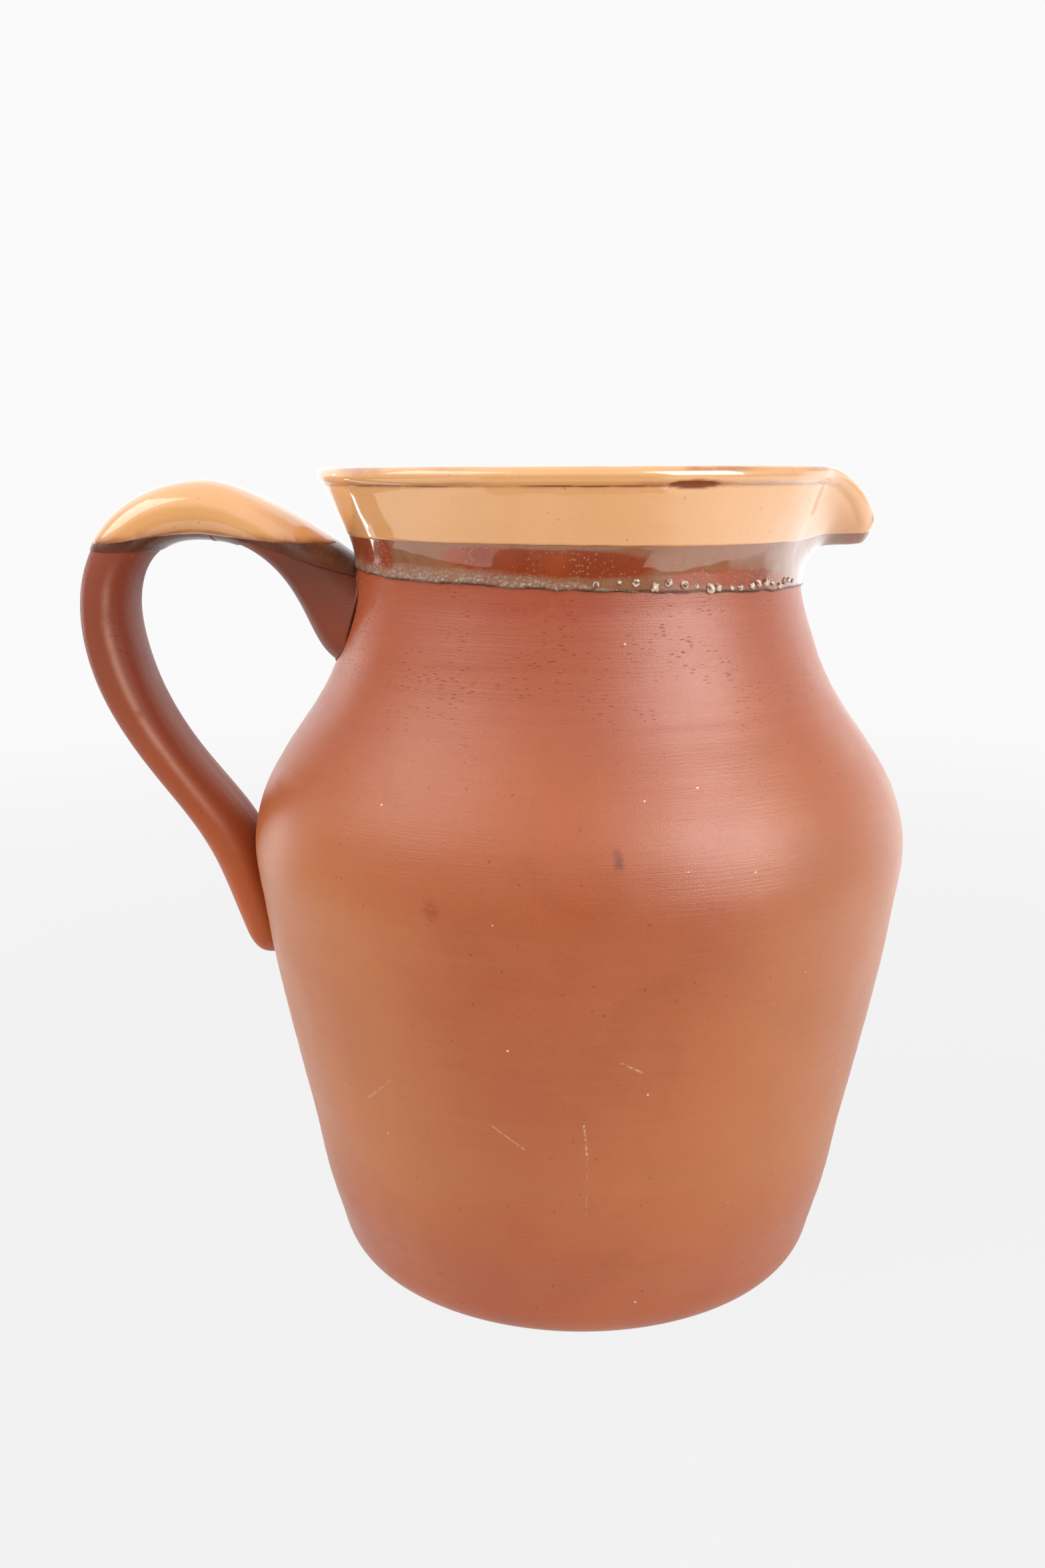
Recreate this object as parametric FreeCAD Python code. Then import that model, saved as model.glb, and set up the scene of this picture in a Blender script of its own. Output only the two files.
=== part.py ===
import FreeCAD, Part
import math
import os

# A thrown stoneware pitcher with a pulled spout and a pulled strap handle.
# Millimetres, +Z up, the origin at the middle of the foot, the spout towards +X, the handle towards -X.

# Driving dimensions of the thrown vessel.
HEIGHT = 203.6
FOOT_RADIUS = 54.7
BELLY_RADIUS = 83.1
BELLY_HEIGHT = 110.0
NECK_RADIUS = 55.4
NECK_HEIGHT = 178.0
LIP_RADIUS = 62.6
LIP_HEIGHT = 200.1
RIM_WALL = 4.9
FOOT_WALL = 6.6
FLOOR = 9.0
FLOOR_RADIUS = 36.0
INNER_WALL_START = FLOOR + 10.0

# Driving dimensions of the spout, which is pulled out and down from the rim.
SPOUT_TIP = 73.0
SPOUT_HALF_ANGLE = math.radians(25.0)
SPOUT_EDGE_POWER = 1.6

# Thicknesses and edges of the slip and the glaze.
COAT = 0.45
LUTE = 0.7
LUTE_BEAD = 1.0
LUTE_SPLIT_HEIGHT = BELLY_HEIGHT + 25.0
SLIP_EDGE_HEIGHT = 187.2
GLAZE_EDGE_HEIGHT = 177.4
GLAZE_EDGE_TILT = 0.045
HANDLE_SLIP_EDGE_HEIGHT = 186.0
HANDLE_GLAZE_EDGE_HEIGHT = 182.6
ROOT_GLAZE_EDGE_HEIGHT = 177.4
ROOT_GLAZE_EDGE_TILT = 0.33
ROOT_GLAZE_END_X = -81.0
HANDLE_ARCH_X = -95.0

# The frozen drops along the glaze's lower edge.
BEAD_COUNT = 40
BEAD_RADIUS = 0.6
BEAD_VARIATION = 0.35
BEAD_VARIATION_TURN = 3.0
BEAD_SCATTER = 0.35
BEAD_SCATTER_TURN = 5.0
BEAD_HALF_SWEEP = math.radians(150.0)
BEAD_DROP = 0.3
BEAD_GAP = 0.05

# How finely the smooth skins are ruled.
COLUMNS = 72
COLUMN_CROWDING = 0.5
STRAP_COLUMNS = 24
STATIONS_PER_FACE = 6
COLUMNS_PER_FACE = 18
SAME_POINT = 1e-4
REACH = 400.0

# The outer wall from the foot's rounded edge to the neck, as (radius, height).
OUTER_WALL = [
    (FOOT_RADIUS, 0.0),
    (FOOT_RADIUS + 4.6, 1.4),
    (FOOT_RADIUS + 7.7, 5.0),
    (FOOT_RADIUS + 9.3, 10.0),
    (FOOT_RADIUS + 12.0, 20.0),
    (BELLY_RADIUS - 12.3, 40.0),
    (BELLY_RADIUS - 8.0, 60.0),
    (BELLY_RADIUS - 4.2, 80.0),
    (BELLY_RADIUS - 1.1, BELLY_HEIGHT - 10.0),
    (BELLY_RADIUS, BELLY_HEIGHT),
    (BELLY_RADIUS - 0.7, BELLY_HEIGHT + 7.5),
    (BELLY_RADIUS - 3.0, BELLY_HEIGHT + 15.0),
    (BELLY_RADIUS - 7.3, BELLY_HEIGHT + 22.5),
    (NECK_RADIUS + 15.3, NECK_HEIGHT - 38.0),
    (NECK_RADIUS + 10.3, NECK_HEIGHT - 30.5),
    (NECK_RADIUS + 6.4, NECK_HEIGHT - 23.0),
    (NECK_RADIUS + 3.1, NECK_HEIGHT - 14.0),
    (NECK_RADIUS + 1.0, NECK_HEIGHT - 7.0),
]

# The flared collar from the neck, over the rolled lip and down inside to the neck again.
# Each row is a point of the plain rim, as (radius, height), and where the spout carries that point.
COLLAR = [
    ((NECK_RADIUS, NECK_HEIGHT), (NECK_RADIUS + 0.5, NECK_HEIGHT - 0.8)),
    ((NECK_RADIUS + 1.5, NECK_HEIGHT + 7.0), (SPOUT_TIP - 14.7, NECK_HEIGHT + 3.9)),
    ((LIP_RADIUS - 3.4, LIP_HEIGHT - 7.8), (SPOUT_TIP - 11.1, NECK_HEIGHT + 6.4)),
    ((LIP_RADIUS - 1.4, LIP_HEIGHT - 3.2), (SPOUT_TIP - 6.7, NECK_HEIGHT + 6.7)),
    ((LIP_RADIUS - 0.4, LIP_HEIGHT - 0.9), (SPOUT_TIP - 3.9, NECK_HEIGHT + 6.8)),
    ((LIP_RADIUS, LIP_HEIGHT), (SPOUT_TIP - 2.9, NECK_HEIGHT + 6.9)),
    ((LIP_RADIUS + 1.1, LIP_HEIGHT + 1.0), (SPOUT_TIP - 1.2, NECK_HEIGHT + 7.6)),
    ((LIP_RADIUS + 1.5, HEIGHT - 1.4), (SPOUT_TIP, NECK_HEIGHT + 9.6)),
    ((LIP_RADIUS - 0.2, HEIGHT), (SPOUT_TIP - 0.6, NECK_HEIGHT + 11.4)),
    ((LIP_RADIUS - 2.0, HEIGHT - 0.6), (SPOUT_TIP - 2.3, NECK_HEIGHT + 12.5)),
    ((LIP_RADIUS - 3.5, HEIGHT - 2.6), (SPOUT_TIP - 4.7, NECK_HEIGHT + 13.0)),
    ((LIP_RADIUS - 6.0, LIP_HEIGHT - 3.0), (SPOUT_TIP - 8.5, NECK_HEIGHT + 13.0)),
    ((LIP_RADIUS - 8.7, LIP_HEIGHT - 9.4), (SPOUT_TIP - 13.5, NECK_HEIGHT + 11.4)),
    ((LIP_RADIUS - 11.0, NECK_HEIGHT + 6.0), (SPOUT_TIP - 18.2, NECK_HEIGHT + 7.4)),
    ((NECK_RADIUS - RIM_WALL, NECK_HEIGHT - 0.5), (NECK_RADIUS - 4.4, NECK_HEIGHT + 0.2)),
]

# The curve between the inner wall and the inner floor, as (radius, height).
INNER_FLOOR = [
    (FOOT_RADIUS - 1.7, FLOOR + 4.6),
    (FOOT_RADIUS - 6.7, FLOOR + 1.1),
    (FLOOR_RADIUS + 4.0, FLOOR),
    (FLOOR_RADIUS, FLOOR),
]

# The strap handle from its root on the neck to its tail on the wall, in the XZ plane. Each row is an
# outer point and an inner point, as (x, height), and the strap's width there. The root starts inside
# the neck's wall and the tail ends inside the belly's wall.
HANDLE_STATIONS = [
    ((-52.5, 178.5), (-59.5, 152.5), 36.0),
    ((-56.8, 181.8), (-63.9, 156.0), 33.0),
    ((-63.5, 186.6), (-68.6, 166.8), 28.5),
    ((-72.8, 192.5), (-75.2, 177.9), 26.0),
    ((-81.0, 196.7), (-83.2, 184.2), 25.0),
    ((-90.5, 200.2), (-91.2, 186.5), 24.5),
    ((-100.5, 200.0), (-99.0, 186.5), 24.5),
    ((-111.3, 196.2), (-105.8, 184.2), 24.5),
    ((-119.2, 189.7), (-109.7, 180.8), 24.5),
    ((-124.6, 180.0), (-112.2, 176.2), 24.5),
    ((-126.8, 167.5), (-113.4, 168.3), 24.5),
    ((-125.2, 155.4), (-112.0, 158.6), 24.5),
    ((-119.6, 141.3), (-108.0, 146.8), 24.5),
    ((-110.4, 127.1), (-99.6, 132.3), 25.0),
    ((-100.5, 113.4), (-90.5, 120.6), 26.0),
    ((-94.4, 103.3), (-83.0, 109.0), 27.0),
    ((-90.3, 93.3), (-79.0, 97.0), 27.0),
    ((-87.6, 85.6), (-76.8, 88.2), 25.0),
    ((-85.4, 80.6), (-76.5, 83.0), 20.0),
    ((-82.8, 78.0), (-76.8, 80.4), 12.0),
    ((-80.0, 77.2), (-77.4, 78.6), 5.0),
]
STRAP_SQUARENESS = 2.35


def vector(radius, angle, height):
    return FreeCAD.Vector(radius * math.cos(angle), radius * math.sin(angle), height)


def column_angle(column):
    """The angle of a column round the vessel. Columns crowd together at the spout."""
    turn = 2.0 * math.pi * column / COLUMNS
    return turn - COLUMN_CROWDING * math.sin(turn)


def spout_reach(angle):
    """How far a column is pulled outwards, from 0 at the plain rim to 1 at the spout's tip."""
    side = abs(math.remainder(angle, 2.0 * math.pi))
    if side >= SPOUT_HALF_ANGLE:
        return 0.0
    return math.cos(0.5 * math.pi * side / SPOUT_HALF_ANGLE) ** 2


def spout_droop(angle):
    """How far a column is pulled down, so that the spout's edge is a rounded beak seen from the side."""
    reach = spout_reach(angle)
    start = LIP_RADIUS * math.cos(SPOUT_HALF_ANGLE)
    edge = (LIP_RADIUS + (SPOUT_TIP - LIP_RADIUS) * reach) * math.cos(angle)
    along = min(max((edge - start) / (SPOUT_TIP - start), 0.0), 1.0)
    if reach == 0.0:
        return 0.0
    return 1.0 - (1.0 - along**SPOUT_EDGE_POWER) ** (1.0 / SPOUT_EDGE_POWER)


def inner_wall():
    """The inside of the wall, thicker towards the foot, from below the neck to above the floor."""
    points = []
    for (radius_below, height_below), (radius, height), (radius_above, height_above) in zip(
        OUTER_WALL, OUTER_WALL[1:], OUTER_WALL[2:] + [COLLAR[0][0]]
    ):
        if height < INNER_WALL_START:
            continue
        rise = height_above - height_below
        spread = radius_above - radius_below
        length = math.hypot(rise, spread)
        wall = FOOT_WALL + (RIM_WALL - FOOT_WALL) * height / NECK_HEIGHT
        points.append((radius - wall * rise / length, height + wall * spread / length))
    points.sort(key=lambda point: -point[1])
    return points


def vessel_section(angle):
    """The wall's outline at one angle, from the foot up the outside, over the lip and down to the floor."""
    reach = spout_reach(angle)
    droop = spout_droop(angle)
    section = list(OUTER_WALL)
    for (radius, height), (spout_radius, spout_height) in COLLAR:
        section.append((radius + (spout_radius - radius) * reach, height + (spout_height - height) * droop))
    section.extend(inner_wall()[:-1])
    section.extend(INNER_FLOOR)
    return section


def vessel_rings():
    """Points of the vessel's skin: one ring for each station of its section."""
    columns = []
    for column in range(COLUMNS):
        angle = column_angle(column)
        columns.append([vector(radius, angle, height) for radius, height in vessel_section(angle)])
    return [list(ring) for ring in zip(*columns)]


def strap_rings(growth=0.0):
    """Points of the handle's skin: one rounded strap section at each station."""
    rings = []
    for (outer_x, outer_height), (inner_x, inner_height), width in HANDLE_STATIONS:
        outer = FreeCAD.Vector(outer_x, 0, outer_height)
        inner = FreeCAD.Vector(inner_x, 0, inner_height)
        middle = (outer + inner) * 0.5
        half_thickness = 0.5 * outer.distanceToPoint(inner) + growth
        half_width = 0.5 * width + growth
        outwards = (outer - inner).normalize()
        across = FreeCAD.Vector(0, 1, 0)
        ring = []
        for column in range(STRAP_COLUMNS):
            turn = 2.0 * math.pi * column / STRAP_COLUMNS
            side = math.copysign(abs(math.cos(turn)) ** (2.0 / STRAP_SQUARENESS), math.cos(turn))
            rise = math.copysign(abs(math.sin(turn)) ** (2.0 / STRAP_SQUARENESS), math.sin(turn))
            ring.append(middle + across * (side * half_width) + outwards * (rise * half_thickness))
        rings.append(ring)
    return rings


def grow_rings(rings, growth):
    """The same rings moved outwards along the skin. The first ring stays level, on the table."""
    grown = []
    for number, ring in enumerate(rings):
        before = rings[max(number - 1, 0)]
        after = rings[min(number + 1, len(rings) - 1)]
        new_ring = []
        for column, point in enumerate(ring):
            round_step = ring[(column + 1) % len(ring)] - ring[column - 1]
            up_step = after[column] - before[column]
            if number == 0:
                up_step = FreeCAD.Vector(0, 0, 1)
            outwards = round_step.cross(up_step).normalize()
            new_ring.append(point + outwards * growth)
        grown.append(new_ring)
    return grown


def spacing(rings):
    """Curve parameters for the stations, spaced as they are along the first column."""
    parameters = [0.0]
    for ring, next_ring in zip(rings, rings[1:]):
        parameters.append(parameters[-1] + ring[0].distanceToPoint(next_ring[0]))
    return parameters


def skin(rings):
    """Smooth faces through every point of the rings, closed round and open at both ends of the whole skin."""
    parameters = spacing(rings)
    lengthwise = []
    for column in zip(*rings):
        curve = Part.BSplineCurve()
        curve.interpolate(Points=list(column), Parameters=parameters)
        lengthwise.append(curve)
    rows = []
    turns = [float(number) for number in range(len(lengthwise) + 1)]
    for row in zip(*[curve.getPoles() for curve in lengthwise]):
        ring = Part.BSplineCurve()
        ring.interpolate(Points=list(row), PeriodicFlag=True, Parameters=turns)
        rows.append(ring)
    surface = Part.BSplineSurface()
    surface.buildFromPolesMultsKnots(
        list(zip(*[ring.getPoles() for ring in rows])),
        rows[0].getMultiplicities(),
        lengthwise[0].getMultiplicities(),
        rows[0].getKnots(),
        lengthwise[0].getKnots(),
        True,
        False,
        rows[0].Degree,
        lengthwise[0].Degree,
    )
    around = turns[:-1:COLUMNS_PER_FACE] + turns[-1:]
    lengthways = parameters[:-1:STATIONS_PER_FACE] + parameters[-1:]
    faces = []
    for left, right in zip(around, around[1:]):
        for start, end in zip(lengthways, lengthways[1:]):
            patch = surface.copy()
            patch.segment(left, right, start, end)
            faces.append(patch.toShape())
    return faces


def end_cap(faces, ring):
    """The flat face across one open end of a skin."""
    edges = []
    for face in faces:
        for edge in face.Edges:
            middle = edge.valueAt(0.5 * (edge.FirstParameter + edge.LastParameter))
            if min(middle.distanceToPoint(point) for point in ring) < SAME_POINT:
                edges.append(edge)
    return Part.Face(Part.Wire(Part.sortEdges(edges)[0]))


def closed_solid(rings):
    """The solid inside a skin, with a flat face across each open end."""
    faces = skin(rings)
    faces = faces + [end_cap(faces, rings[0]), end_cap(faces, rings[-1])]
    shell = Part.Shell(faces)
    shell.sewShape()
    solid = Part.Solid(shell)
    if solid.Volume < 0:
        solid.reverse()
    return solid


def slab(bottom, top, tilt=0.0, x_from=-REACH, x_to=REACH):
    """Everything between two levels. The lower level drops by tilt for each step towards the spout."""
    corners = [
        (x_from, bottom - tilt * x_from),
        (x_to, bottom - tilt * x_to),
        (x_to, top),
        (x_from, top),
    ]
    outline = Part.makePolygon([FreeCAD.Vector(x, -REACH, height) for x, height in corners + corners[:1]])
    return Part.Face(outline).extrude(FreeCAD.Vector(0, 2.0 * REACH, 0))


def largest(shape):
    """The biggest separate solid of a shape, without the offcuts left inside the neck."""
    return max(shape.Solids, key=lambda solid: solid.Volume)


def narrowest(shape):
    """The separate solid that lies inside the others."""
    return min(shape.Solids, key=lambda solid: solid.optimalBoundingBox().XLength)


def widest(shape):
    """The separate solid that lies round the others."""
    return max(shape.Solids, key=lambda solid: solid.optimalBoundingBox().XLength)


def wall_radius(angle, height):
    """The outer wall's radius at an angle and at a height between the foot and the collar's flare."""
    flare_start = len(OUTER_WALL) + 2
    outside = vessel_section(angle)[:flare_start]
    for (radius, low), (next_radius, high) in zip(outside, outside[1:]):
        if low <= height <= high:
            return radius + (next_radius - radius) * (height - low) / (high - low)
    return outside[-1][0]


def luting_slip(bead_strap, luted, body, bottom, top):
    """The layer of slip that joins one end of the handle to the wall, squeezed out a little all round."""
    return largest(bead_strap.common(luted).cut(body).common(slab(bottom, top)))


def collar_cream_slip(coat):
    """The dipped cream slip over the collar, the lip and the spout, outside and inside."""
    return largest(coat.common(slab(SLIP_EDGE_HEIGHT, REACH)))


def collar_glaze(coat, bead_strap):
    """The band of clear glaze on the bare clay below the slip, cut away at the handle's root."""
    band = widest(coat.common(slab(GLAZE_EDGE_HEIGHT, SLIP_EDGE_HEIGHT, GLAZE_EDGE_TILT)))
    return largest(band.cut(bead_strap))


def interior_glaze(coat):
    """The lining that makes the jug hold water, from the slip's inner edge down over the floor."""
    return narrowest(coat.common(slab(-REACH, SLIP_EDGE_HEIGHT)))


def handle_cream_slip(strap_coat):
    """The slip over the top of the handle's arch, down to the level of the dip."""
    return largest(strap_coat.common(slab(HANDLE_SLIP_EDGE_HEIGHT, REACH)))


def handle_glaze(strap_coat):
    """The glaze bands below the slip: one on the handle's outer branch and one on its root."""
    branch = slab(HANDLE_GLAZE_EDGE_HEIGHT, HANDLE_SLIP_EDGE_HEIGHT, x_to=HANDLE_ARCH_X)
    level_at_axis = ROOT_GLAZE_EDGE_HEIGHT - ROOT_GLAZE_EDGE_TILT * NECK_RADIUS
    root = slab(level_at_axis, HANDLE_SLIP_EDGE_HEIGHT, ROOT_GLAZE_EDGE_TILT, x_from=ROOT_GLAZE_END_X)
    return Part.makeCompound([largest(strap_coat.common(branch)), largest(strap_coat.common(root))])


def glaze_edge_beads():
    """Small drops of glaze that froze just below the glaze's edge, each resting on the wall."""
    drops = []
    for number in range(BEAD_COUNT):
        across = (number + BEAD_SCATTER * math.sin(BEAD_SCATTER_TURN * number)) / (BEAD_COUNT - 1)
        angle = BEAD_HALF_SWEEP * (2.0 * across - 1.0)
        radius = BEAD_RADIUS * (1.0 + BEAD_VARIATION * math.sin(BEAD_VARIATION_TURN * number))
        edge = GLAZE_EDGE_HEIGHT - GLAZE_EDGE_TILT * NECK_RADIUS * math.cos(angle)
        height = edge - radius - BEAD_DROP
        drop = Part.makeSphere(radius)
        drop.translate(vector(wall_radius(angle, height) + radius + BEAD_GAP, angle, height))
        drops.append(drop)
    return Part.makeCompound(drops)


def build():
    """Every sub-part by its node name."""
    rings = vessel_rings()
    body = closed_solid(rings)
    luted = closed_solid(grow_rings(rings, LUTE))
    coat = closed_solid(grow_rings(rings, COAT)).cut(body)

    strap = closed_solid(strap_rings())
    bead_strap = closed_solid(strap_rings(LUTE_BEAD))
    strap_coat = closed_solid(strap_rings(COAT)).cut(luted).cut(strap)

    return {
        "body": body,
        "handle": largest(strap.cut(luted)),
        "upper_luting_slip": luting_slip(bead_strap, luted, body, LUTE_SPLIT_HEIGHT, REACH),
        "lower_luting_slip": luting_slip(bead_strap, luted, body, 0.0, LUTE_SPLIT_HEIGHT),
        "collar_cream_slip": collar_cream_slip(coat),
        "collar_glaze": collar_glaze(coat, bead_strap),
        "interior_glaze": interior_glaze(coat),
        "handle_cream_slip": handle_cream_slip(strap_coat),
        "handle_glaze": handle_glaze(strap_coat),
        "glaze_edge_beads": glaze_edge_beads(),
    }


os.makedirs("parts", exist_ok=True)
for node, shape in build().items():
    shape.exportStep("parts/" + node + ".step")
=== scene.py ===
import math

import bmesh
import bpy
import numpy as np
from mathutils import Matrix, Vector, kdtree


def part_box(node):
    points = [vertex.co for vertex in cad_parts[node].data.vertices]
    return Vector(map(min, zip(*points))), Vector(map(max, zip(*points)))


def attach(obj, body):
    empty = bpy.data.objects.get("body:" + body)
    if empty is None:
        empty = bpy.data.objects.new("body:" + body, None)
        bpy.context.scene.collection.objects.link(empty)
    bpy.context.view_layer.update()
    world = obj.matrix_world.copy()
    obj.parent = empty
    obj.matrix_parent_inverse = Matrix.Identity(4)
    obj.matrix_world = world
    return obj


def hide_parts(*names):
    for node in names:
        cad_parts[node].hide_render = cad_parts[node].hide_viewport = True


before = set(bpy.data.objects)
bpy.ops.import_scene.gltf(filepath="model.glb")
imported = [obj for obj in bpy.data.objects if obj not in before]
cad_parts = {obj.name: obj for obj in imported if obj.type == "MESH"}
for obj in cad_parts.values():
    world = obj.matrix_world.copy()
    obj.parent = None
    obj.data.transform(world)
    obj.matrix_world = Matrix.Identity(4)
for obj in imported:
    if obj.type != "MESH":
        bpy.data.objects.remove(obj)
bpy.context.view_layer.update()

# --- Sizes. Shapes are worked out in millimetres from the frame's boxes, and MM turns them to metres.
MM = 0.001

body_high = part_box("body")[1]
slip_low, slip_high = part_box("collar_cream_slip")

HEIGHT = body_high.z / MM
BELLY_RADIUS = body_high.y / MM
COAT = (slip_high.z - body_high.z) / MM
LIP_ROLL = 1.5
LIP_RADIUS = -slip_low.x / MM - COAT - LIP_ROLL
SPOUT_TIP = slip_high.x / MM - COAT
SLIP_EDGE = slip_low.z / MM
SLIP_EDGE_TILT = 0.012
GLAZE_EDGE_TILT = 0.045
GLAZE_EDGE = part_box("collar_glaze")[0].z / MM + 2.5
HANDLE_SLIP_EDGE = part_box("handle_cream_slip")[0].z / MM
ROOT_GLAZE_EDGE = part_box("handle_glaze")[0].z / MM + 0.4
ROOT_GLAZE_TILT = 0.33
ARCH_X = -95.5

FOOT_RADIUS = 0.6582 * BELLY_RADIUS
NECK_RADIUS = 0.6667 * BELLY_RADIUS
BELLY_HEIGHT = 0.5403 * HEIGHT
NECK_HEIGHT = 0.8743 * HEIGHT
LIP_HEIGHT = HEIGHT - 3.5
FLOOR = 9.0
FLOOR_RADIUS = 36.0
RIM_WALL = 4.9
FOOT_WALL = 6.6
SPOUT_HALF_ANGLE = math.radians(25.0)
SPOUT_EDGE_POWER = 1.6

# The outer wall from the foot's rounded edge to the neck, as (radius, height).
OUTER_WALL = [
    (FOOT_RADIUS, 0.0),
    (FOOT_RADIUS + 4.6, 1.4),
    (FOOT_RADIUS + 7.7, 5.0),
    (FOOT_RADIUS + 9.3, 10.0),
    (FOOT_RADIUS + 12.0, 20.0),
    (BELLY_RADIUS - 12.3, 40.0),
    (BELLY_RADIUS - 8.0, 60.0),
    (BELLY_RADIUS - 4.2, 80.0),
    (BELLY_RADIUS - 1.1, BELLY_HEIGHT - 10.0),
    (BELLY_RADIUS, BELLY_HEIGHT),
    (BELLY_RADIUS - 0.7, BELLY_HEIGHT + 7.5),
    (BELLY_RADIUS - 3.0, BELLY_HEIGHT + 15.0),
    (BELLY_RADIUS - 7.3, BELLY_HEIGHT + 22.5),
    (NECK_RADIUS + 15.3, NECK_HEIGHT - 38.0),
    (NECK_RADIUS + 10.3, NECK_HEIGHT - 30.5),
    (NECK_RADIUS + 6.4, NECK_HEIGHT - 23.0),
    (NECK_RADIUS + 3.1, NECK_HEIGHT - 14.0),
    (NECK_RADIUS + 1.0, NECK_HEIGHT - 7.0),
]

# The flared collar, over the rolled lip and down inside to the neck: a point of the plain rim, as
# (radius, height), and where the spout carries it.
COLLAR = [
    ((NECK_RADIUS, NECK_HEIGHT), (NECK_RADIUS + 0.5, NECK_HEIGHT - 0.8)),
    ((NECK_RADIUS + 0.88, NECK_HEIGHT + 7.0), (SPOUT_TIP - 14.7, NECK_HEIGHT + 3.9)),
    ((LIP_RADIUS - 3.4, LIP_HEIGHT - 7.8), (SPOUT_TIP - 11.1, NECK_HEIGHT + 6.4)),
    ((LIP_RADIUS - 1.4, LIP_HEIGHT - 3.2), (SPOUT_TIP - 6.7, NECK_HEIGHT + 6.7)),
    ((LIP_RADIUS - 0.4, LIP_HEIGHT - 0.9), (SPOUT_TIP - 3.9, NECK_HEIGHT + 6.8)),
    ((LIP_RADIUS, LIP_HEIGHT), (SPOUT_TIP - 2.9, NECK_HEIGHT + 6.9)),
    ((LIP_RADIUS + 1.1, LIP_HEIGHT + 1.0), (SPOUT_TIP - 1.2, NECK_HEIGHT + 7.6)),
    ((LIP_RADIUS + 1.5, HEIGHT - 1.4), (SPOUT_TIP, NECK_HEIGHT + 9.6)),
    ((LIP_RADIUS - 0.2, HEIGHT), (SPOUT_TIP - 0.6, NECK_HEIGHT + 11.4)),
    ((LIP_RADIUS - 2.0, HEIGHT - 0.6), (SPOUT_TIP - 2.3, NECK_HEIGHT + 12.5)),
    ((LIP_RADIUS - 3.5, HEIGHT - 2.6), (SPOUT_TIP - 4.7, NECK_HEIGHT + 13.0)),
    ((LIP_RADIUS - 6.0, LIP_HEIGHT - 3.0), (SPOUT_TIP - 8.5, NECK_HEIGHT + 13.0)),
    ((LIP_RADIUS - 8.7, LIP_HEIGHT - 9.4), (SPOUT_TIP - 13.5, NECK_HEIGHT + 11.4)),
    ((LIP_RADIUS - 11.0, NECK_HEIGHT + 6.0), (SPOUT_TIP - 18.2, NECK_HEIGHT + 7.4)),
    ((NECK_RADIUS - RIM_WALL, NECK_HEIGHT - 0.5), (NECK_RADIUS - 4.4, NECK_HEIGHT + 0.2)),
]

INNER_FLOOR = [
    (FOOT_RADIUS - 1.7, FLOOR + 4.6),
    (FOOT_RADIUS - 6.7, FLOOR + 1.1),
    (FLOOR_RADIUS + 4.0, FLOOR),
    (FLOOR_RADIUS, FLOOR),
]

# The strap handle: an outer and an inner point of its outline, as (x, height), and its width there.
HANDLE_STATIONS = [
    ((-52.5, 178.5), (-59.0, 154.3), 35.0),
    ((-56.8, 181.8), (-63.7, 158.0), 32.0),
    ((-63.5, 186.6), (-68.6, 167.2), 28.5),
    ((-72.8, 192.5), (-75.2, 177.9), 26.0),
    ((-81.0, 196.7), (-83.2, 184.2), 25.0),
    ((-90.5, 200.2), (-91.2, 186.5), 24.5),
    ((-100.5, 200.0), (-99.0, 186.5), 24.5),
    ((-111.3, 196.2), (-105.8, 184.2), 24.5),
    ((-119.2, 189.7), (-109.7, 180.8), 24.5),
    ((-124.6, 180.0), (-112.2, 176.2), 24.5),
    ((-126.8, 167.5), (-113.4, 168.3), 24.5),
    ((-125.2, 155.4), (-112.0, 158.6), 24.5),
    ((-119.6, 141.3), (-108.0, 146.8), 24.5),
    ((-110.4, 127.1), (-99.6, 132.3), 25.0),
    ((-100.5, 113.4), (-90.5, 120.6), 26.0),
    ((-94.4, 103.3), (-83.0, 109.0), 27.0),
    ((-90.3, 93.3), (-79.0, 97.0), 27.0),
    ((-87.6, 85.6), (-76.8, 88.2), 25.0),
    ((-85.4, 80.6), (-76.5, 83.0), 20.0),
    ((-82.8, 78.0), (-76.8, 80.4), 12.0),
    ((-80.0, 77.2), (-77.4, 78.6), 5.0),
]
STRAP_SQUARENESS = 2.35


# --- Smooth curves and smooth noise
FULL_TURN = 2.0 * math.pi


def chord_lengths(points):
    gaps = np.linalg.norm(np.diff(np.asarray(points, float), axis=0), axis=1)
    return np.concatenate([[0.0], np.cumsum(gaps)])


def second_derivatives(knots, values):
    """Of the natural cubic spline through values, whose last axis runs along the knots."""
    count = len(knots)
    gaps = np.diff(knots)
    matrix = np.eye(count)
    right = np.zeros(values.shape)
    slopes = np.diff(values, axis=-1) / gaps
    for k in range(1, count - 1):
        matrix[k, k - 1] = gaps[k - 1]
        matrix[k, k] = 2.0 * (gaps[k - 1] + gaps[k])
        matrix[k, k + 1] = gaps[k]
        right[..., k] = 6.0 * (slopes[..., k] - slopes[..., k - 1])
    return right @ np.linalg.inv(matrix).T


def spline(knots, values, where):
    """The spline's value at where, which has one column for each row of values."""
    bends = second_derivatives(knots, values)
    k = np.clip(np.searchsorted(knots, where) - 1, 0, len(knots) - 2)
    row = np.arange(values.shape[0])
    gap = knots[k + 1] - knots[k]
    left = (knots[k + 1] - where) / gap
    right = 1.0 - left
    bend = (left**3 - left) * bends[row, k] + (right**3 - right) * bends[row, k + 1]
    return left * values[row, k] + right * values[row, k + 1] + bend * gap**2 / 6.0


def ripple(points, wavelength, seed, waves=20):
    """Smooth noise of about -1 to 1: sine waves in random directions."""
    random = np.random.default_rng(seed)
    total = np.zeros(points.shape[:-1])
    for _ in range(waves):
        direction = random.normal(size=3)
        direction *= random.uniform(0.6, 1.4) / np.linalg.norm(direction)
        phase = random.uniform(0.0, FULL_TURN)
        total += np.sin(points @ direction * (FULL_TURN / wavelength) + phase)
    return total * math.sqrt(2.0 / waves) * 0.6


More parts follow.
